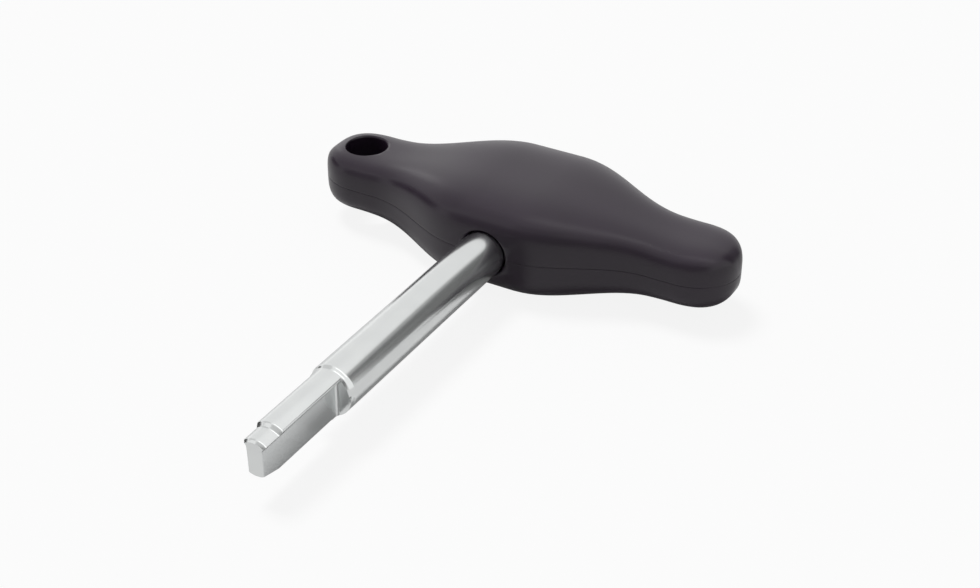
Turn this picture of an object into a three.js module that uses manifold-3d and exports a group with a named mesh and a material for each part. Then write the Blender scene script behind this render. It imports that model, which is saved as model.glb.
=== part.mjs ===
// Drain plug wrench: a plated round bar with a milled bit, pinned across a moulded T-handle that is
// made of two half shells. Millimetres, +Z up. The tool lies flat: the handle runs along X with its
// hanging hole towards -X, and the bar points to -Y.
import * as THREE from "three";
import { mergeVertices } from "three/addons/utils/BufferGeometryUtils.js";
import Module from "manifold-3d";

// Handle, outer form
const handleLength = 120;
const palmWidth = 44.4;
const armWidth = 22.6;
const palmThickness = 25.8;
const armThickness = 15.9;
const palmStraight = 14; // length of the palm's middle, which runs straight and level
const palmReach = 40.2; // from the handle's middle to where the arms run parallel in plan
const crownReach = 45.8; // from the handle's middle to where the arms run level
const endRound = 12.6; // length of the rounded arm end in plan
const endEdge = 10; // length over which the arm end rounds off in thickness
const planSquareness = 2; // of the arm end in plan: 2 is an ellipse, larger is squarer
const edgeSquareness = 3; // of the arm end in thickness
const sectionSquareness = 3.8; // of the handle's cross section

// Hanging hole
const hangHoleDiameter = 11.2;
const hangHoleFromEnd = 11;

// Handle, inside
const shellWall = 3;
const ribThickness = 2;
const ribPitch = 13;
const seamGap = 0.3;
const pegDiameter = 4;
const pegHeight = 4;
const boreMouthChamfer = 1;

// Bar, measured along its axis from the handle's axis
const shaftDiameter = 12;
const shoulderReach = 89;
const bitLength = 28.2;
const tangReach = 12;
const shoulderChamfer = 0.8;
const tangChamfer = 1;

// Bit: a web under a round cap, with a thinner tip
const bitDiameter = 11;
const webThickness = 4;
const rebateTop = 2.7; // from the bar's axis up to the corner between web and cap
const rebateFlankAngle = THREE.MathUtils.degToRad(45);
const rebateFillet = 0.5;
const rebateEndRadius = 0.8;
const collarLength = 1; // full round left between the rebates and the shoulder
const tipDiameter = 9.2;
const tipLength = 5.1;
const tipShoulderLength = 0.9; // along the cone between bit and tip
const tipChamfer = 0.6;

// Cross pin
const pinDiameter = 5;
const pinLength = 24;
const pinChamfer = 0.5;
const pinBehindAxis = 3;

// Fits
const fitClearance = 0.3;

// Cutting forms
const past = 1; // how far a cutting form runs past the face that it cuts

// Fineness of the round forms
const handleSides = 32;
const handleStations = 40;
const hollowSides = 24;
const hollowStations = 28;
const roundSides = 48;
const smallRoundSides = 24;
const filletSteps = 4;

// Sizes that follow from the ones above
const handleEnd = handleLength / 2;
const hangHoleX = -(handleEnd - hangHoleFromEnd);
const bitEnd = shoulderReach + bitLength;
const boreRadius = shaftDiameter / 2 + fitClearance;
const cradleHalfWidth = boreRadius + shellWall;
const hangHoleBlock = Math.abs(hangHoleX) - hangHoleDiameter / 2 - shellWall;
const pegX = (cradleHalfWidth + hangHoleBlock) / 2;
const plasticBlack = { color: 0x39363a, roughness: 0.55, metalness: 0 };
const platedSteel = { color: 0xc6c8c9, roughness: 0.25, metalness: 1 };

const wasm = await Module();
wasm.setup();

function solidOf(geometry) {
  geometry.deleteAttribute("normal");
  geometry.deleteAttribute("uv");
  const merged = mergeVertices(geometry);
  const triVerts = new Uint32Array(merged.index.array);
  const vertProperties = new Float32Array(merged.getAttribute("position").array);
  return new wasm.Manifold(new wasm.Mesh({ numProp: 3, vertProperties, triVerts }));
}

function meshOf(solid, name, finish) {
  const made = solid.getMesh();
  const geometry = new THREE.BufferGeometry();
  geometry.setAttribute("position", new THREE.BufferAttribute(made.vertProperties, made.numProp));
  geometry.setIndex(new THREE.BufferAttribute(made.triVerts, 1));
  geometry.computeVertexNormals();
  const mesh = new THREE.Mesh(geometry, new THREE.MeshStandardMaterial(finish));
  mesh.name = name;
  return mesh;
}

function box(low, high) {
  const size = new THREE.Vector3().subVectors(high, low);
  const middle = new THREE.Vector3().addVectors(low, high).multiplyScalar(0.5);
  const geometry = new THREE.BoxGeometry(size.x, size.y, size.z);
  geometry.translate(middle.x, middle.y, middle.z);
  return solidOf(geometry);
}

function uprightRound(radius, x, low, high) {
  const geometry = new THREE.CylinderGeometry(radius, radius, high - low, smallRoundSides);
  geometry.rotateX(Math.PI / 2);
  geometry.translate(x, 0, (low + high) / 2);
  return solidOf(geometry);
}

function turned(profile) {
  return new THREE.LatheGeometry(
    profile.map(([radius, along]) => new THREE.Vector2(radius, along)),
    roundSides,
  );
}

// Swelling of the palm: 1 along its straight middle, falling smoothly to 0 where the arm begins.
function swelling(x, reach) {
  const straight = palmStraight / 2;
  const share = (Math.abs(x) - straight) / (reach - straight);
  return (1 + Math.cos(Math.PI * THREE.MathUtils.clamp(share, 0, 1))) / 2;
}

function halfWidthAt(x) {
  return (armWidth + (palmWidth - armWidth) * swelling(x, palmReach)) / 2;
}

function halfThicknessAt(x) {
  return (armThickness + (palmThickness - armThickness) * swelling(x, crownReach)) / 2;
}

function endRounding(x, end, length, squareness) {
  const beyond = THREE.MathUtils.clamp((Math.abs(x) - (end - length)) / length, 0, 1);
  return (1 - beyond ** squareness) ** (1 / squareness);
}

function squared(direction) {
  return Math.sign(direction) * Math.abs(direction) ** (2 / sectionSquareness);
}

// The handle's form, set in from the outer surface: a sphere with its poles at the arm ends, whose
// rings become rounded-square sections of the handle.
function handleForm(inset, sides, stations) {
  const form = new THREE.SphereGeometry(1, sides, stations);
  form.rotateZ(Math.PI / 2);
  const end = handleEnd - inset;
  const points = form.getAttribute("position");
  for (let i = 0; i < points.count; i++) {
    const x = points.getX(i) * end;
    const ring = Math.hypot(points.getY(i), points.getZ(i)) || 1;
    const planRounding = endRounding(x, end, endRound - inset, planSquareness);
    const edgeRounding = endRounding(x, end, endEdge, edgeSquareness);
    const y = (halfWidthAt(x) - inset) * planRounding * squared(points.getY(i) / ring);
    const z = (halfThicknessAt(x) - inset) * edgeRounding * squared(points.getZ(i) / ring);
    points.setXYZ(i, x, y, z);
  }
  return solidOf(form);
}

// A slab across the whole handle between two places along it.
function crossSlab(left, right) {
  const low = new THREE.Vector3(left, -palmWidth, -palmThickness);
  const high = new THREE.Vector3(right, palmWidth, palmThickness);
  return box(low, high);
}

// Cross ribs of one arm, from the peg post outwards. The arm lies towards `side`, which is 1 or -1.
function armRibs(side, reach) {
  let ribs = crossSlab(side * pegX - ribThickness / 2, side * pegX + ribThickness / 2);
  for (let out = pegX + ribPitch; out < reach - ribPitch / 2; out += ribPitch) {
    ribs = ribs.add(crossSlab(side * out - ribThickness / 2, side * out + ribThickness / 2));
  }
  return ribs;
}

// Solid places inside the shell: the cradle round the tang, the seat of the cross pin, the end round
// the hanging hole, the ribs and the peg posts.
function handleCore() {
  const pinSeatX = pinLength / 2 + fitClearance + shellWall;
  const pinSeatY = pinDiameter / 2 + fitClearance + shellWall;
  const seatLow = new THREE.Vector3(-pinSeatX, pinBehindAxis - pinSeatY, -palmThickness);
  const seatHigh = new THREE.Vector3(pinSeatX, pinBehindAxis + pinSeatY, palmThickness);
  const postRadius = pegDiameter / 2 + fitClearance + ribThickness;
  const post = (x) => uprightRound(postRadius, x, -palmThickness, palmThickness);
  return crossSlab(-cradleHalfWidth, cradleHalfWidth)
    .add(box(seatLow, seatHigh))
    .add(crossSlab(-handleLength, -hangHoleBlock))
    .add(armRibs(-1, hangHoleBlock))
    .add(armRibs(1, handleEnd - shellWall))
    .add(post(-pegX))
    .add(post(pegX));
}

// The seat of the bar's tang: a blind bore with a chamfered mouth in the front of the handle.
function tangBore() {
  const front = -palmWidth / 2;
  const depth = tangReach + fitClearance - front;
  const bore = new THREE.CylinderGeometry(boreRadius, boreRadius, depth + past, roundSides);
  bore.translate(0, front + (depth - past) / 2, 0);
  const mouthRadius = boreRadius + boreMouthChamfer + past;
  const mouth = new THREE.CylinderGeometry(boreRadius, mouthRadius, boreMouthChamfer + past, roundSides);
  mouth.translate(0, front + (boreMouthChamfer - past) / 2, 0);
  return solidOf(bore).add(solidOf(mouth));
}

function pinRound(radius, length) {
  const geometry = new THREE.CylinderGeometry(radius, radius, length, smallRoundSides);
  geometry.rotateZ(Math.PI / 2);
  geometry.translate(0, pinBehindAxis, 0);
  return solidOf(geometry);
}

// The whole handle before it is split at the seam.
function wholeHandle() {
  const hollow = handleForm(shellWall, hollowSides, hollowStations).subtract(handleCore());
  const pinRadius = pinDiameter / 2 + fitClearance;
  return handleForm(0, handleSides, handleStations)
    .subtract(hollow)
    .subtract(tangBore())
    .subtract(pinRound(pinRadius, pinLength + 2 * fitClearance))
    .subtract(uprightRound(hangHoleDiameter / 2, hangHoleX, -palmThickness, palmThickness));
}

function halfSpace(low, high) {
  const lowCorner = new THREE.Vector3(-handleLength, -palmWidth, low);
  const highCorner = new THREE.Vector3(handleLength, palmWidth, high);
  return box(lowCorner, highCorner);
}

function upperHalf(handle) {
  const rim = seamGap / 2;
  const socketRadius = pegDiameter / 2 + fitClearance;
  const socketTop = pegHeight + fitClearance;
  return handle
    .intersect(halfSpace(rim, palmThickness))
    .subtract(uprightRound(socketRadius, -pegX, -past, socketTop))
    .subtract(uprightRound(socketRadius, pegX, -past, socketTop));
}

function lowerHalf(handle) {
  const rim = -seamGap / 2;
  const pegRoot = rim - past;
  return handle
    .intersect(halfSpace(-palmThickness, rim))
    .add(uprightRound(pegDiameter / 2, -pegX, pegRoot, pegHeight))
    .add(uprightRound(pegDiameter / 2, pegX, pegRoot, pegHeight));
}

// The round bar with its tang, shoulder, bit and tip, turned about its axis.
function turnedBar() {
  const shaftRadius = shaftDiameter / 2;
  const bitRadius = bitDiameter / 2;
  const tipRadius = tipDiameter / 2;
  const tipFoot = -bitEnd + tipLength;
  const profile = [
    [0, -bitEnd],
    [tipRadius - tipChamfer, -bitEnd],
    [tipRadius, -bitEnd + tipChamfer],
    [tipRadius, tipFoot],
    [bitRadius, tipFoot + tipShoulderLength],
    [bitRadius, -shoulderReach],
    [shaftRadius, -shoulderReach + shoulderChamfer],
    [shaftRadius, tangReach - tangChamfer],
    [shaftRadius - tangChamfer, tangReach],
    [0, tangReach],
  ];
  return solidOf(turned(profile));
}

// Section of one rebate across the bit, in X and Z: it bares the side of the web, is open below, and
// slopes up and out from a filleted corner to undercut the cap. Its `side` is 1 or -1.
function rebateSection(side) {
  const floor = webThickness / 2;
  const run = Math.cos(rebateFlankAngle);
  const rise = Math.sin(rebateFlankAngle);
  const outX = floor + bitDiameter * run;
  const outZ = rebateTop + bitDiameter * rise;
  const section = new THREE.Shape();
  section.moveTo(side * floor, -bitDiameter);
  section.lineTo(side * outX, -bitDiameter);
  section.lineTo(side * outX, outZ);
  section.lineTo(side * (floor + rebateFillet * run), rebateTop + rebateFillet * rise);
  section.quadraticCurveTo(side * floor, rebateTop, side * floor, rebateTop - rebateFillet);
  section.closePath();
  return section;
}

// Plan of one rebate, in X and Y: it runs out of the bit's end and stops at the collar beside the
// shoulder, with the small round of the cutter's corner.
function rebatePlan(side) {
  const floor = webThickness / 2;
  const out = floor + bitDiameter;
  const stop = -shoulderReach - collarLength;
  const plan = new THREE.Shape();
  plan.moveTo(side * floor, -bitEnd - past);
  plan.lineTo(side * out, -bitEnd - past);
  plan.lineTo(side * out, stop);
  plan.lineTo(side * (floor + rebateEndRadius), stop);
  plan.quadraticCurveTo(side * floor, stop, side * floor, stop - rebateEndRadius);
  plan.closePath();
  return plan;
}

function rebate(side) {
  const along = { depth: bitLength + 2 * past, bevelEnabled: false, curveSegments: filletSteps };
  const section = new THREE.ExtrudeGeometry(rebateSection(side), along);
  section.rotateX(Math.PI / 2);
  section.translate(0, -shoulderReach + past, 0);
  const upwards = { depth: 2 * shaftDiameter, bevelEnabled: false, curveSegments: filletSteps };
  const plan = new THREE.ExtrudeGeometry(rebatePlan(side), upwards);
  plan.translate(0, 0, -shaftDiameter);
  return solidOf(section).intersect(solidOf(plan));
}

function shaft() {
  return turnedBar()
    .subtract(rebate(1))
    .subtract(rebate(-1))
    .subtract(pinRound(pinDiameter / 2 + fitClearance, 2 * shaftDiameter));
}

function crossPin() {
  const radius = pinDiameter / 2;
  const half = pinLength / 2;
  const geometry = turned([
    [0, -half],
    [radius - pinChamfer, -half],
    [radius, -half + pinChamfer],
    [radius, half - pinChamfer],
    [radius - pinChamfer, half],
    [0, half],
  ]);
  geometry.rotateZ(Math.PI / 2);
  geometry.translate(0, pinBehindAxis, 0);
  return solidOf(geometry);
}

const handle = wholeHandle();
const tool = new THREE.Group();
tool.add(meshOf(upperHalf(handle), "handle_upper", plasticBlack));
tool.add(meshOf(lowerHalf(handle), "handle_lower", plasticBlack));
tool.add(meshOf(shaft(), "shaft", platedSteel));
tool.add(meshOf(crossPin(), "cross_pin", platedSteel));

// The part's origin is under the middle of the tool, on the surface that it lies on.
tool.position.set(0, (bitEnd - palmWidth / 2) / 2, palmThickness / 2);

const part = new THREE.Group();
part.add(tool);

export default part;
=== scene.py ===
# Drain plug wrench: a plated round bar with a milled bit, pinned across a moulded black T-handle.
# Metres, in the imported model's frame: the handle runs along X, the bar points to -Y, +Z is up.
import math

import bpy
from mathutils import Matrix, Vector


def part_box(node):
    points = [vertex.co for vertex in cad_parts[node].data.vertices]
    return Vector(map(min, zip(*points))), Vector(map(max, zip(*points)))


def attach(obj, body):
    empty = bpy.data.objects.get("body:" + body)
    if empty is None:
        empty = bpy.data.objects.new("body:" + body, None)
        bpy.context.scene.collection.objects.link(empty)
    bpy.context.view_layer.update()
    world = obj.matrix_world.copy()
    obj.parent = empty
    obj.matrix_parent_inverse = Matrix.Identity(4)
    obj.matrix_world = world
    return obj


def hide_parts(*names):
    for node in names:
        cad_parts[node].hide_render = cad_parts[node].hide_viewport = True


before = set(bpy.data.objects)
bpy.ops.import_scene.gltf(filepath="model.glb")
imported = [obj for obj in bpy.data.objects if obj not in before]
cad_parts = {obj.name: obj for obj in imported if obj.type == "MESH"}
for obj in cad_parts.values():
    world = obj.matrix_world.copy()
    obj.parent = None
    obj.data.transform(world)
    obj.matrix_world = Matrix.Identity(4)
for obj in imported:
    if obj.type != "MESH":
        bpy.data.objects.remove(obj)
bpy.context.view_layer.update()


# Handle
# The T-handle is two half shells of black polypropylene, moulded and welded along the seam at
# mid height. One form is lofted through its sections, and each half is cut from a copy of it.
MM = 0.001
PALM_WIDTH = 44.38 * MM
ARM_WIDTH = 22.6 * MM
PALM_THICKNESS = 25.79 * MM
ARM_THICKNESS = 15.9 * MM
HANDLE_END = 60 * MM
PALM_STRAIGHT = 7 * MM  # half of the straight, level middle
PALM_REACH = 40.2 * MM
CROWN_REACH = 45.8 * MM
END_ROUND = 12.6 * MM
END_EDGE = 10 * MM
PLAN_SQUARENESS = 2  # exponents of the rounding: 2 is an ellipse, larger is squarer
EDGE_SQUARENESS = 3
SECTION_SQUARENESS = 3.8
SECTION_CORNER_STEPS = 24
SECTION_WELD = 0.0001  # in metres, while the section is still 2 m across
HANDLE_STATIONS = 100
SEAM_GAP = 0.01 * MM
SEAM_STEPS = 3
UPPER_SEAM_EDGE = 0.06 * MM
LOWER_SEAM_EDGE = 0.22 * MM  # a small ledge, which catches the light
HANG_HOLE_X = -49 * MM
HANG_HOLE_RADIUS = 5.6 * MM
HANG_HOLE_LIP = 0.9 * MM
HANG_HOLE_SIDES = 64
BAR_RADIUS = 6 * MM
BORE_RADIUS = 6.1 * MM
BORE_MOUTH = 1.2 * MM
BORE_DEPTH = 12.3 * MM  # past the handle's axis
BORE_SIDES = 96
MOUTH_TURNS = (0, 15, 30, 45, 60, 75)  # degrees round the edge of a hole's mouth
PIN_Y = 3 * MM  # behind the handle's axis
PIN_SEAT_RADIUS = 2.8 * MM
PIN_SEAT_HALF = 12.3 * MM
PIN_SIDES = 32
PAST = 2 * MM  # how far a cutter runs past the face that it cuts
WELD = 0.001 * MM  # points nearer than this are one point
SMOOTH_ANGLE = math.radians(32)  # edges blunter than this are shaded smooth

pin_low, pin_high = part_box("cross_pin")
crossing = (pin_low + pin_high) / 2 - Vector((0, PIN_Y, 0))  # of the handle's and the bar's axes


def palm_swelling(x, reach):
    """1 along the palm's straight middle, falling smoothly to 0 where the arm begins."""
    share = (abs(x) - PALM_STRAIGHT) / (reach - PALM_STRAIGHT)
    return (1 + math.cos(math.pi * min(max(share, 0), 1))) / 2


def end_rounding(x, length, squareness):
    """1 up to the rounded end, falling to 0 at the handle's end."""
    beyond = max(0, (abs(x) - (HANDLE_END - length)) / length)
    return (1 - beyond ** squareness) ** (1 / squareness)


def handle_section(x):
    """Half width and half thickness of the handle at a place along it."""
    width = ARM_WIDTH + (PALM_WIDTH - ARM_WIDTH) * palm_swelling(x, PALM_REACH)
    thickness = ARM_THICKNESS + (PALM_THICKNESS - ARM_THICKNESS) * palm_swelling(x, CROWN_REACH)
    width *= end_rounding(x, END_ROUND, PLAN_SQUARENESS)
    thickness *= end_rounding(x, END_EDGE, EDGE_SQUARENESS)
    return width / 2, thickness / 2


def place_in_mesh(piece, place):
    """Moves a piece modelled about the origin to its place, and leaves its object at the origin."""
    piece.location = place
    bpy.ops.object.select_all(action="DESELECT")
    piece.select_set(True)
    bpy.context.view_layer.objects.active = piece
    bpy.ops.object.transform_apply(location=True, rotation=True, scale=True)


def clean_mesh():
    """In edit mode: merges doubles and turns all faces outwards."""
    bpy.ops.mesh.select_all(action="SELECT")
    bpy.ops.mesh.remove_doubles(threshold=WELD)
    bpy.ops.mesh.normals_make_consistent(inside=False)


def loft_handle():
    """The handle's outer form about the origin, from the -X end to the +X end."""
    bpy.ops.object.select_all(action="DESELECT")
    bpy.ops.mesh.primitive_plane_add(size=2, rotation=(0, math.pi / 2, 0))
    bpy.ops.object.transform_apply(location=False, rotation=True, scale=False)
    bpy.ops.object.mode_set(mode="EDIT")
    bpy.ops.mesh.select_all(action="SELECT")
    # A bevel's profile is a superellipse, so full corner bevels give the rounded-square section.
    profile = math.exp(-2 * math.log(2) / SECTION_SQUARENESS)
    bpy.ops.mesh.bevel(affect="VERTICES", offset=1, segments=SECTION_CORNER_STEPS, profile=profile)
    bpy.ops.mesh.select_all(action="SELECT")
    bpy.ops.mesh.remove_doubles(threshold=SECTION_WELD)
    x, half_width, half_thickness = 0, 1, 1
    for i in range(1, HANDLE_STATIONS):
        next_x = -HANDLE_END * math.cos(math.pi * i / HANDLE_STATIONS)
        next_width, next_thickness = handle_section(next_x)
        step = (next_x - x, 0, 0)
        if i == 1:
            bpy.ops.transform.translate(value=step)
        else:
            bpy.ops.mesh.extrude_region_move(TRANSFORM_OT_translate={"value": step})
        growth = (1, next_width / half_width, next_thickness / half_thickness)
        bpy.ops.transform.resize(value=growth, center_override=(next_x, 0, 0))
        x, half_width, half_thickness = next_x, next_width, next_thickness
    clean_mesh()
    bpy.ops.object.mode_set(mode="OBJECT")
    return bpy.context.object


def turn_round(profile, axis, sides):
    """A turned form about an axis through the origin: a disc extruded from one (place along the
    axis, radius) to the next."""
    axis = Vector(axis)
    along, radius = profile[0]
    bpy.ops.object.select_all(action="DESELECT")
    facing = axis.to_track_quat("Z", "Y").to_euler()
    bpy.ops.mesh.primitive_circle_add(
        vertices=sides, radius=radius, fill_type="NGON", location=axis * along, rotation=facing)
    bpy.ops.object.transform_apply(location=True, rotation=True, scale=True)
    bpy.ops.object.mode_set(mode="EDIT")
    bpy.ops.mesh.select_all(action="SELECT")
    for next_along, next_radius in profile[1:]:
        step = axis * (next_along - along)
        bpy.ops.mesh.extrude_region_move(TRANSFORM_OT_translate={"value": step})
        growth = next_radius / radius
        bpy.ops.transform.resize(value=(growth, growth, growth), center_override=axis * next_along)
        along, radius = next_along, next_radius
    clean_mesh()
    bpy.ops.object.mode_set(mode="OBJECT")
    return bpy.context.object


def cut_away(piece, cutter, operation="DIFFERENCE"):
    """Cuts a piece with another form, or joins or crosses the two."""
    cutting = piece.modifiers.new("cut", "BOOLEAN")
    cutting.operation = operation
    cutting.solver = "EXACT"
    cutting.object = cutter
    bpy.context.view_layer.objects.active = piece
    bpy.ops.object.modifier_apply(modifier=cutting.name)


def rounded_mouth(face, radius, lip):
    """Profile of a hole's mouth, whose edge rounds off towards the face that it opens in."""
    profile = []
    for degrees in MOUTH_TURNS:
        turn = math.radians(degrees)
        profile.append((face - lip * (1 - math.sin(turn)), radius + lip * (1 - math.cos(turn))))
    profile.append((face + PAST, profile[-1][1] + 3 * PAST))
    return profile


def hang_hole_cutter():
    """A round hole with moulded lips at the top and bottom of the arm."""
    top = rounded_mouth(ARM_THICKNESS / 2, HANG_HOLE_RADIUS, HANG_HOLE_LIP)
    bottom = [(-along, radius) for along, radius in reversed(top)]
    cutter = turn_round(bottom + top, (0, 0, 1), HANG_HOLE_SIDES)
    place_in_mesh(cutter, (HANG_HOLE_X, 0, 0))
    return cutter


def bore_cutter():
    """The seat of the bar, with its mouth in the front of the palm."""
    mouth = rounded_mouth(PALM_WIDTH / 2, BORE_RADIUS, BORE_MOUTH)
    profile = list(reversed(mouth)) + [(-BORE_DEPTH, BORE_RADIUS)]
    return turn_round(profile, (0, -1, 0), BORE_SIDES)


def pin_seat_cutter():
    """The seat of the cross pin, half in each shell."""
    profile = [(-PIN_SEAT_HALF, PIN_SEAT_RADIUS), (PIN_SEAT_HALF, PIN_SEAT_RADIUS)]
    cutter = turn_round(profile, (1, 0, 0), PIN_SIDES)
    place_in_mesh(cutter, (0, PIN_Y, 0))
    return cutter


def select_edges(piece, test):
    """In edit mode: selects the edges whose two ends both pass the test."""
    bpy.ops.mesh.select_mode(type="EDGE")
    bpy.ops.mesh.select_all(action="DESELECT")
    bpy.ops.object.mode_set(mode="OBJECT")
    points = piece.data.vertices
    for edge in piece.data.edges:
        edge.select = all(test(points[end].co) for end in edge.vertices)
    bpy.ops.object.mode_set(mode="EDIT")


def split_at_seam(half, side, edge):
    """Keeps the half towards `side` of the seam, which is 1 or -1, and rounds its rim: the half is
    cut off below the rim, and the cut face is inset and raised in steps of a quarter turn."""
    foot = side * (SEAM_GAP / 2 + edge)
    bpy.ops.object.select_all(action="DESELECT")
    half.select_set(True)
    bpy.context.view_layer.objects.active = half
    bpy.ops.object.mode_set(mode="EDIT")
    bpy.ops.mesh.select_all(action="SELECT")
    bpy.ops.mesh.bisect(
        plane_co=(0, 0, foot), plane_no=(0, 0, side), use_fill=True, clear_inner=True,
        threshold=WELD)
    clean_mesh()
    select_edges(half, lambda at: abs(at.z - foot) < WELD)
    for step in range(SEAM_STEPS):
        turn = math.pi / 2 * step / SEAM_STEPS
        next_turn = math.pi / 2 * (step + 1) / SEAM_STEPS
        bpy.ops.mesh.inset(
            thickness=edge * (math.cos(turn) - math.cos(next_turn)),
            depth=edge * (math.sin(next_turn) - math.sin(turn)))
    bpy.ops.object.mode_set(mode="OBJECT")


def add_node(tree, kind, inputs=None, **settings):
    """Adds a node, sets its properties, and sets or links its inputs."""
    made = tree.nodes.new(kind)
    for name, value in settings.items():
        setattr(made, name, value)
    for socket, value in (inputs or {}).items():
        if isinstance(value, bpy.types.NodeSocket):
            tree.links.new(value, made.inputs[socket])
        else:
            made.inputs[socket].default_value = value
    return made


def srgb(colour):
    """Linear RGBA of an sRGB hex colour."""
    channels = [int(colour[i:i + 2], 16) / 255 for i in (1, 3, 5)]
    linear = [c / 12.92 if c <= 0.04045 else ((c + 0.055) / 1.055) ** 2.4 for c in channels]
    return (*linear, 1.0)


# Polypropylene coloured black, moulded in a spark-eroded cavity: an even satin skin that is a
# little cloudy from flow, with a fine grain that breaks up the edges of reflections.
PLASTIC_DARK = "#1e1520"
PLASTIC_LIGHT = "#261b29"
FLOW_CLOUD = 14 * MM
SPARK_GRAIN = 0.45 * MM  # about 0.1 mm on the real skin, drawn coarser so that it shows
SPARK_DEPTH = 0.006 * MM
SPARK_STRENGTH = 0.35
PLASTIC_GLOSSY, PLASTIC_SATIN = 0.285, 0.34  # roughness
PLASTIC_IOR = 1.47
NOISE_LOW, NOISE_HIGH = 0.3, 0.7  # where most of a noise pattern's values lie

MIX_FACTOR, MIX_A, MIX_B, MIX_RESULT = 0, 6, 7, 2  # colour sockets of a Mix node

plastic = bpy.data.materials.new("moulded_black_polypropylene")
plastic.use_nodes = True
tree = plastic.node_tree
tree.nodes.clear()
place = add_node(tree, "ShaderNodeTexCoord").outputs["Object"]
cloud = add_node(tree, "ShaderNodeTexNoise", {
    "Vector": place, "Scale": 1 / FLOW_CLOUD, "Detail": 3, "Roughness": 0.6}).outputs["Fac"]
grain = add_node(tree, "ShaderNodeTexNoise", {
    "Vector": place, "Scale": 1 / SPARK_GRAIN, "Detail": 2, "Roughness": 0.5}).outputs["Fac"]
tint = add_node(tree, "ShaderNodeMix", {
    MIX_FACTOR: cloud, MIX_A: srgb(PLASTIC_DARK), MIX_B: srgb(PLASTIC_LIGHT)}, data_type="RGBA")
satin = add_node(tree, "ShaderNodeMapRange", {
    "Value": cloud, "From Min": NOISE_LOW, "From Max": NOISE_HIGH,
    "To Min": PLASTIC_GLOSSY, "To Max": PLASTIC_SATIN})
pitted = add_node(tree, "ShaderNodeBump", {
    "Height": grain, "Strength": SPARK_STRENGTH, "Distance": SPARK_DEPTH})
skin = add_node(tree, "ShaderNodeBsdfPrincipled", {
    "Base Color": tint.outputs[MIX_RESULT], "Roughness": satin.outputs["Result"],
    "IOR": PLASTIC_IOR, "Normal": pitted.outputs["Normal"]})
add_node(tree, "ShaderNodeOutputMaterial", {"Surface": skin.outputs["BSDF"]})

handle_form = loft_handle()
cutters = [hang_hole_cutter(), bore_cutter(), pin_seat_cutter()]
for node_name, piece_name, side, seam_edge in (
        ("handle_upper", "handle_upper_shell", 1, UPPER_SEAM_EDGE),
        ("handle_lower", "handle_lower_shell", -1, LOWER_SEAM_EDGE)):
    half = handle_form.copy()
    half.data = handle_form.data.copy()
    half.name = piece_name
    bpy.context.scene.collection.objects.link(half)
    split_at_seam(half, side, seam_edge)
    for cutter in cutters:
        cut_away(half, cutter)
    place_in_mesh(half, crossing)
    bpy.ops.object.shade_smooth_by_angle(angle=SMOOTH_ANGLE)
    half.data.materials.clear()
    half.data.materials.append(plastic)
    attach(half, "root")
    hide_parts(node_name)
for spare in cutters + [handle_form]:
    bpy.data.objects.remove(spare)


# Bar
# One length of drawn round steel. Its free end is cut down in two steps on top and milled on both
# sides to a web under a round cap, which is the bit that enters the plug. Below, the web keeps the
# bar's round and tapers along the tip. The whole bar is bright zinc plated.
SHOULDER_REACH = 89 * MM  # from the handle's axis
BIT_END = 117.2 * MM
TANG_REACH = 12 * MM
TANG_CHAMFER = 1 * MM
SHOULDER_CHAMFER = 0.8 * MM
BIT_RADIUS = 5.5 * MM
WEB_SIDE = 2 * MM  # half of the web's thickness
REBATE_TOP = 2.7 * MM
REBATE_FLANK = math.radians(45)
REBATE_FILLET = 0.5 * MM
REBATE_END_RADIUS = 0.8 * MM
COLLAR_LENGTH = 1 * MM
TIP_RADIUS = 4.6 * MM
TIP_LENGTH = 5.1 * MM
TIP_SHOULDER_LENGTH = 0.9 * MM
TIP_CHAMFER = 0.6 * MM
FOOT_END_RADIUS = 4.7 * MM  # of the web's underside at the end face
PIN_HOLE_RADIUS = 2.8 * MM
WORN_EDGE = 0.3 * MM
LIP_EDGE = 0.65 * MM
FILLET_STEPS = 6
FOOT_EDGE_STEPS = 4
REBATE_END_STEPS = 8
WORN_EDGE_STEPS = 3
TOUCH = 0.01 * MM  # how near a point lies to a face that it counts as on
FLAT_ANGLE = math.radians(0.2)  # faces that meet flatter than this become one
BAR_SIDES = 96


def soften(profile, radius):
    """A turned profile with its inner corners rounded."""
    soft = [Vector(profile[0])]
    for before, corner, after in zip(profile, profile[1:], profile[2:]):
        corner = Vector(corner)
        back, ahead = Vector(before) - corner, Vector(after) - corner
        reach = min(radius, back.length / 2, ahead.length / 2)
        first = corner + back.normalized() * reach
        last = corner + ahead.normalized() * reach
        for share in (0, 0.25, 0.5, 0.75, 1):
            soft.append(first.lerp(corner, share).lerp(corner.lerp(last, share), share))
    return [tuple(point) for point in soft] + [profile[-1]]


def select_corners(piece, test):
    """In edit mode: selects the corner points that pass the test."""
    bpy.ops.mesh.select_mode(type="VERT")
    bpy.ops.mesh.select_all(action="DESELECT")
    bpy.ops.object.mode_set(mode="OBJECT")
    for point in piece.data.vertices:
        point.select = test(point.co)
    bpy.ops.object.mode_set(mode="EDIT")


def draw_outline(corners):
    """A flat face, drawn by extruding one point from corner to corner. Stays in edit mode."""
    bpy.ops.object.select_all(action="DESELECT")
    bpy.ops.mesh.primitive_plane_add(size=PAST)
    outline = bpy.context.object
    place_in_mesh(outline, corners[0])
    bpy.ops.object.mode_set(mode="EDIT")
    bpy.ops.mesh.select_mode(type="VERT")
    bpy.ops.mesh.select_all(action="SELECT")
    bpy.ops.mesh.merge(type="CENTER")
    for here, there in zip(corners, corners[1:]):
        step = Vector(there) - Vector(here)
        bpy.ops.mesh.extrude_region_move(TRANSFORM_OT_translate={"value": step})
    bpy.ops.mesh.select_all(action="SELECT")
    bpy.ops.mesh.edge_face_add()
    return outline


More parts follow.
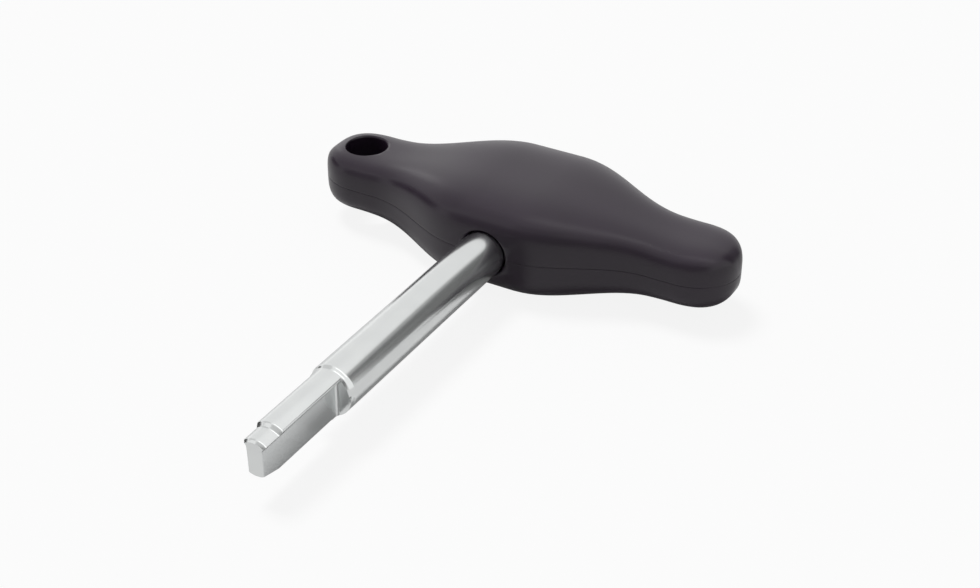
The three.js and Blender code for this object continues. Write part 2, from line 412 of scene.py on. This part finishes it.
def round_corner(outline, corner, radius, steps):
    """In edit mode: rounds one corner of a flat face."""
    select_corners(outline, lambda at: (at - Vector(corner)).length < TOUCH)
    bpy.ops.mesh.bevel(affect="VERTICES", offset=radius, segments=steps)


def draw_out(outline, step):
    """Extrudes a flat face into a solid and leaves edit mode."""
    bpy.ops.mesh.select_all(action="SELECT")
    bpy.ops.mesh.extrude_region_move(TRANSFORM_OT_translate={"value": step})
    clean_mesh()
    bpy.ops.object.mode_set(mode="OBJECT")


def rebate_cutter():
    """What the mill takes out on the +X side of the bit. Its section follows the web and the cap's
    flank, and leaves along the cap's and the bar's round, so that the lip and the web's foot are
    broken edges."""
    out = 3 * BIT_RADIUS
    top_y = -SHOULDER_REACH + PAST
    low_y = -BIT_END - PAST
    run, rise = math.cos(REBATE_FLANK), math.sin(REBATE_FLANK)
    root = WEB_SIDE * run + REBATE_TOP * rise
    flank = -root + math.sqrt(root ** 2 + BIT_RADIUS ** 2 - WEB_SIDE ** 2 - REBATE_TOP ** 2)
    lip = Vector((WEB_SIDE + flank * run, 0, REBATE_TOP + flank * rise))
    foot = Vector((WEB_SIDE, 0, -math.sqrt(BAR_RADIUS ** 2 - WEB_SIDE ** 2)))
    above = lip + Vector((-lip.z, 0, lip.x)) / BIT_RADIUS * PAST
    below = foot + Vector((foot.z, 0, -foot.x)) / BAR_RADIUS * PAST
    corner = Vector((WEB_SIDE, 0, REBATE_TOP))
    corners = [corner, lip, above, Vector((above.x, 0, out)), Vector((out, 0, out)),
               Vector((out, 0, -out)), Vector((below.x, 0, -out)), below, foot]
    start = Vector((0, top_y, 0))
    section = draw_outline([start + place for place in corners])
    round_corner(section, start + corner, REBATE_FILLET, FILLET_STEPS)
    round_corner(section, start + lip, LIP_EDGE, FILLET_STEPS)
    round_corner(section, start + foot, WORN_EDGE, FOOT_EDGE_STEPS)
    draw_out(section, (0, low_y - top_y, 0))

    stop = -SHOULDER_REACH - COLLAR_LENGTH
    plan = draw_outline([
        (-out, low_y, -out), (out, low_y, -out),
        (out, stop, -out), (WEB_SIDE, stop, -out),
        (WEB_SIDE, stop - PAST, -out), (-out, stop - PAST, -out)])
    round_corner(plan, (WEB_SIDE, stop, -out), REBATE_END_RADIUS, REBATE_END_STEPS)
    draw_out(plan, (0, 0, 2 * out))
    cut_away(section, plan, "INTERSECT")
    bpy.data.objects.remove(plan)
    return section


def web_foot():
    """The lower half of the bit, which keeps the bar's own round and tapers along the tip. It
    starts inside the bar and comes out through the shoulder's chamfer."""
    foot = turn_round(soften([
        (SHOULDER_REACH - 3 * SHOULDER_CHAMFER, BAR_RADIUS - 2 * SHOULDER_CHAMFER),
        (SHOULDER_REACH - SHOULDER_CHAMFER / 2, BAR_RADIUS),
        (BIT_END - TIP_LENGTH - TIP_SHOULDER_LENGTH, BAR_RADIUS),
        (BIT_END, FOOT_END_RADIUS),
    ], WORN_EDGE), (0, -1, 0), BAR_SIDES)
    bpy.ops.object.mode_set(mode="EDIT")
    bpy.ops.mesh.select_all(action="SELECT")
    bpy.ops.mesh.bisect(plane_co=(0, 0, 0), plane_no=(0, 0, -1), use_fill=True, clear_inner=True)
    clean_mesh()
    bpy.ops.object.mode_set(mode="OBJECT")
    return foot


def mirrored(cutter):
    """A copy on the other side of the bar."""
    bpy.ops.object.select_all(action="DESELECT")
    cutter.select_set(True)
    bpy.context.view_layer.objects.active = cutter
    bpy.ops.object.duplicate()
    copy = bpy.context.object
    copy.scale.x = -1
    place_in_mesh(copy, (0, 0, 0))
    bpy.ops.object.mode_set(mode="EDIT")
    clean_mesh()
    bpy.ops.object.mode_set(mode="OBJECT")
    return copy


def pin_hole_cutter():
    """The cross pin's hole through the tang."""
    profile = [(-2 * BAR_RADIUS, PIN_HOLE_RADIUS), (2 * BAR_RADIUS, PIN_HOLE_RADIUS)]
    cutter = turn_round(profile, (1, 0, 0), PIN_SIDES)
    place_in_mesh(cutter, (0, PIN_Y, 0))
    return cutter


def break_end_edges(bar):
    """Rounds the edges that the milling left at the end face."""
    bpy.ops.object.mode_set(mode="EDIT")
    bpy.ops.mesh.select_all(action="SELECT")
    bpy.ops.mesh.dissolve_limited(angle_limit=FLAT_ANGLE)
    select_edges(
        bar, lambda at: abs(abs(at.x) - WEB_SIDE) < TOUCH and at.y < -BIT_END + TOUCH)
    bpy.ops.mesh.bevel(offset=WORN_EDGE, segments=WORN_EDGE_STEPS, affect="EDGES")
    bpy.ops.object.mode_set(mode="OBJECT")


# Zinc plated steel: bright, nearly neutral, with faint lengthwise drawing lines that the thin
# plating doesn't hide and soft cloudy changes of colour. The milled sides of the web are rougher,
# and darker in tint: partly a duller milled finish, partly painted shade under the cap.
ZINC_BRIGHT = "#e6e8e7"
ZINC_DULL = "#dddfdf"
# tint of the milled web: partly its duller finish, partly painted shade under the cap
ZINC_MILLED_SHADED = "#d8dada"
DRAWN_LINE = 0.8 * MM  # about 0.1 mm on the real bar, drawn coarser so that it shows
DRAWN_LENGTH = 60 * MM
DRAWN_DEPTH = 0.002 * MM
DRAWN_STRENGTH = 0.12
ZINC_CLOUD = 6 * MM
ZINC_GLOSSY, ZINC_SATIN = 0.16, 0.20  # roughness
MILLED_ROUGHENING = 0.02
MILLED_MARGIN = 0.05 * MM

zinc = bpy.data.materials.new("bright_zinc_plated_steel")
zinc.use_nodes = True
tree = zinc.node_tree
tree.nodes.clear()
place = add_node(tree, "ShaderNodeTexCoord").outputs["Object"]
lengthwise = add_node(tree, "ShaderNodeMapping", {
    "Vector": place, "Scale": (1 / DRAWN_LINE, 1 / DRAWN_LENGTH, 1 / DRAWN_LINE)})
lines = add_node(tree, "ShaderNodeTexNoise", {
    "Vector": lengthwise.outputs["Vector"], "Scale": 1.0, "Detail": 1,
    "Roughness": 0.5}).outputs["Fac"]
cloud = add_node(tree, "ShaderNodeTexNoise", {
    "Vector": place, "Scale": 1 / ZINC_CLOUD, "Detail": 2, "Roughness": 0.5}).outputs["Fac"]
turned_tint = add_node(tree, "ShaderNodeMix", {
    MIX_FACTOR: cloud, MIX_A: srgb(ZINC_DULL), MIX_B: srgb(ZINC_BRIGHT)}, data_type="RGBA")
turned_gloss = add_node(tree, "ShaderNodeMapRange", {
    "Value": lines, "From Min": NOISE_LOW, "From Max": NOISE_HIGH,
    "To Min": ZINC_GLOSSY, "To Max": ZINC_SATIN})
spot = add_node(tree, "ShaderNodeSeparateXYZ", {"Vector": place}).outputs
from_middle = add_node(tree, "ShaderNodeMath", {0: spot["X"]}, operation="ABSOLUTE")
on_web = add_node(tree, "ShaderNodeMath", {
    0: from_middle.outputs["Value"], 1: WEB_SIDE + MILLED_MARGIN}, operation="LESS_THAN")
under_cap = add_node(tree, "ShaderNodeMath", {
    0: spot["Z"], 1: crossing.z + REBATE_TOP}, operation="LESS_THAN")
milled_shaded_web = add_node(tree, "ShaderNodeMath", {
    0: on_web.outputs["Value"], 1: under_cap.outputs["Value"]}, operation="MULTIPLY")
behind_end = add_node(tree, "ShaderNodeMath", {
    0: spot["Y"], 1: crossing.y - BIT_END + MILLED_MARGIN}, operation="GREATER_THAN")
milled_shaded_web = add_node(tree, "ShaderNodeMath", {
    0: milled_shaded_web.outputs["Value"], 1: behind_end.outputs["Value"]},
    operation="MULTIPLY").outputs["Value"]
# The milled web sides under the cap take the darker tint: partly a duller finish, partly painted
# shade in the recess under the cap.
tint = add_node(tree, "ShaderNodeMix", {
    MIX_FACTOR: milled_shaded_web, MIX_A: turned_tint.outputs[MIX_RESULT], MIX_B: srgb(ZINC_MILLED_SHADED)},
    data_type="RGBA")
gloss = add_node(tree, "ShaderNodeMath", {
    0: milled_shaded_web, 1: MILLED_ROUGHENING, 2: turned_gloss.outputs["Result"]}, operation="MULTIPLY_ADD")
drawn = add_node(tree, "ShaderNodeBump", {
    "Height": lines, "Strength": DRAWN_STRENGTH, "Distance": DRAWN_DEPTH})
plating = add_node(tree, "ShaderNodeBsdfPrincipled", {
    "Base Color": tint.outputs[MIX_RESULT], "Metallic": 1.0,
    "Roughness": gloss.outputs["Value"], "Normal": drawn.outputs["Normal"]})
add_node(tree, "ShaderNodeOutputMaterial", {"Surface": plating.outputs["BSDF"]})

tip_foot = BIT_END - TIP_LENGTH
bar = turn_round(soften([
    (-TANG_REACH, BAR_RADIUS - TANG_CHAMFER),
    (-TANG_REACH + TANG_CHAMFER, BAR_RADIUS),
    (SHOULDER_REACH - SHOULDER_CHAMFER, BAR_RADIUS),
    (SHOULDER_REACH, BIT_RADIUS),
    (tip_foot - TIP_SHOULDER_LENGTH, BIT_RADIUS),
    (tip_foot, TIP_RADIUS),
    (BIT_END - TIP_CHAMFER, TIP_RADIUS),
    (BIT_END, TIP_RADIUS - TIP_CHAMFER),
], WORN_EDGE), (0, -1, 0), BAR_SIDES)
bar.name = "plated_bar"
foot = web_foot()
cut_away(bar, foot, "UNION")
bpy.data.objects.remove(foot)
right_rebate = rebate_cutter()
for cutter in (right_rebate, mirrored(right_rebate), pin_hole_cutter()):
    cut_away(bar, cutter)
    bpy.data.objects.remove(cutter)
break_end_edges(bar)
place_in_mesh(bar, crossing)
bpy.ops.object.shade_smooth_by_angle(angle=SMOOTH_ANGLE)
bar.data.materials.clear()
bar.data.materials.append(zinc)
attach(bar, "root")
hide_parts("shaft")


# Cross pin
# A steel dowel through the bar's tang, held in the seam between the half shells. It is out of sight
# inside the handle, so the CAD node stays and takes the bar's plating.
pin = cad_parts["cross_pin"]
pin.data.materials.clear()
pin.data.materials.append(zinc)


# Table
# A sheet of white card under the tool. To the eye it is lifted most of the way to white, and a
# little to what mirrors it, and it keeps the tool's shadow.
TABLE_SIZE = 6.0
TABLE_DROP = 0.02 * MM  # below the tool, so that no two faces lie in one plane
TABLE_WHITE = "#cfcfcf"
WHITE_TO_THE_EYE = 0.88
WHITE_IN_METAL = 0.08

bpy.ops.object.select_all(action="DESELECT")
bpy.ops.mesh.primitive_plane_add(size=TABLE_SIZE, location=(0, 0, -TABLE_DROP))
table = bpy.context.object
table.name = "table"
card = bpy.data.materials.new("white_card")
card.use_nodes = True
tree = card.node_tree
tree.nodes.clear()
rays = add_node(tree, "ShaderNodeLightPath").outputs
seen = add_node(tree, "ShaderNodeMath", {
    0: rays["Is Camera Ray"], 1: rays["Is Transmission Ray"]}, operation="ADD", use_clamp=True)
in_metal = add_node(tree, "ShaderNodeMath", {
    0: rays["Is Glossy Ray"], 1: WHITE_IN_METAL}, operation="MULTIPLY")
lift = add_node(tree, "ShaderNodeMath", {
    0: seen.outputs["Value"], 1: WHITE_TO_THE_EYE, 2: in_metal.outputs["Value"]},
    operation="MULTIPLY_ADD")
paper = add_node(tree, "ShaderNodeBsdfDiffuse", {"Color": srgb(TABLE_WHITE)})
white = add_node(tree, "ShaderNodeEmission", {"Color": (1, 1, 1, 1), "Strength": 1.0})
lit = add_node(tree, "ShaderNodeMixShader", {
    0: lift.outputs["Value"], 1: paper.outputs["BSDF"], 2: white.outputs["Emission"]})
add_node(tree, "ShaderNodeOutputMaterial", {"Surface": lit.outputs["Shader"]})
table.data.materials.append(card)


# Light
# A white room and a soft lamp overhead, a little to the left. Cards that only reflections see stand
# round the tool: greys in front, behind and at both sides, bright ones on the left and over the
# right arm, and a small flag that keeps the left one out of the bit.
ROOM_LIGHT = 0.35
LAMP_POWER = 2.7
LAMP_SOFTNESS = math.radians(20)
LAMP_FROM = Vector((-0.36, 0.06, 0.93))

room = bpy.data.worlds.new("white_room")
bpy.context.scene.world = room
room.use_nodes = True
tree = room.node_tree
tree.nodes.clear()
rays = add_node(tree, "ShaderNodeLightPath").outputs
seen = add_node(tree, "ShaderNodeMath", {
    0: rays["Is Camera Ray"], 1: rays["Is Glossy Ray"]}, operation="ADD")
seen = add_node(tree, "ShaderNodeMath", {
    0: seen.outputs["Value"], 1: rays["Is Transmission Ray"]}, operation="ADD", use_clamp=True)
strength = add_node(tree, "ShaderNodeMapRange", {
    "Value": seen.outputs["Value"], "To Min": ROOM_LIGHT, "To Max": 1.0})
walls = add_node(tree, "ShaderNodeBackground", {
    "Color": (1, 1, 1, 1), "Strength": strength.outputs["Result"]})
add_node(tree, "ShaderNodeOutputWorld", {"Surface": walls.outputs["Background"]})

bpy.ops.object.select_all(action="DESELECT")
bpy.ops.object.light_add(type="SUN", location=LAMP_FROM)
lamp = bpy.context.object
lamp.name = "soft_lamp"
lamp.rotation_euler = LAMP_FROM.to_track_quat("Z", "Y").to_euler()
lamp.data.energy = LAMP_POWER
lamp.data.angle = LAMP_SOFTNESS
lamp.visible_glossy = False

# Each card's place and size in metres, its grey and how strongly it shines.
for card_name, card_place, card_size, card_grey, card_glow in (
        ("dark_card_right", (0.40, 0.47, 0.19), (0.34, 0.42), "#727272", 1.0),
        ("grey_card_right", (0.42, 0.50, 0.45), (0.40, 0.24), "#a8a8a8", 1.0),
        ("dark_card_front", (0.05, -0.80, 0.26), (2.0, 0.62), "#9c9c9c", 1.0),
        ("grey_card_front", (0.06, -0.60, 0.68), (0.8, 0.5), "#d4d4d4", 1.0),
        ("dark_card_left", (-0.85, -0.10, 0.14), (0.5, 0.3), "#3c3c3c", 1.0),
        ("grey_card_back", (-0.15, 0.85, 0.62), (1.6, 0.75), "#f3f3f3", 1.0),
        ("grey_card_over", (-0.72, -0.05, 0.74), (0.90, 0.70), "#dcdcdc", 1.0),
        ("bright_card_left", (-0.93, 0.67, 0.49), (0.22, 0.29), "#ffffff", 2.4),
        ("flag_for_the_bit", (-0.181, 0.088, 0.108), (0.085, 0.09), "#f3f3f3", 1.0),
        ("bright_card_over", (0.24, 0.0, 0.87), (0.24, 0.98), "#ffffff", 1.8)):
    bpy.ops.object.select_all(action="DESELECT")
    bpy.ops.mesh.primitive_plane_add(size=1)
    panel = bpy.context.object
    panel.name = card_name
    panel.scale = (*card_size, 1)
    panel.rotation_euler = (Vector(card_place) - crossing).to_track_quat("-Z", "Y").to_euler()
    place_in_mesh(panel, card_place)
    panel.visible_camera = False
    panel.visible_diffuse = False
    panel.visible_shadow = False
    felt = bpy.data.materials.new(card_name)
    felt.use_nodes = True
    tree = felt.node_tree
    tree.nodes.clear()
    glow = add_node(tree, "ShaderNodeEmission", {"Color": srgb(card_grey), "Strength": card_glow})
    add_node(tree, "ShaderNodeOutputMaterial", {"Surface": glow.outputs["Emission"]})
    panel.data.materials.append(felt)


# Camera
# At the photograph's angle: where it looks, from which side and how high, and how far away.
AIM = Vector((-2.37 * MM, 33.36 * MM, -4.32 * MM))
AZIMUTH = math.radians(29.894)
ELEVATION = math.radians(32.747)
DISTANCE = 434.5 * MM
LENS = 61.18
SENSOR_WIDTH = 36

back = Vector((
    math.sin(AZIMUTH) * math.cos(ELEVATION),
    -math.cos(AZIMUTH) * math.cos(ELEVATION),
    math.sin(ELEVATION)))
bpy.ops.object.select_all(action="DESELECT")
bpy.ops.object.camera_add(location=AIM + back * DISTANCE)
camera = bpy.context.object
camera.rotation_euler = back.to_track_quat("Z", "Y").to_euler()
camera.data.sensor_width = SENSOR_WIDTH
camera.data.lens = LENS
bpy.context.scene.camera = camera

bpy.context.scene.view_settings.view_transform = "Standard"

bpy.context.view_layer.update()
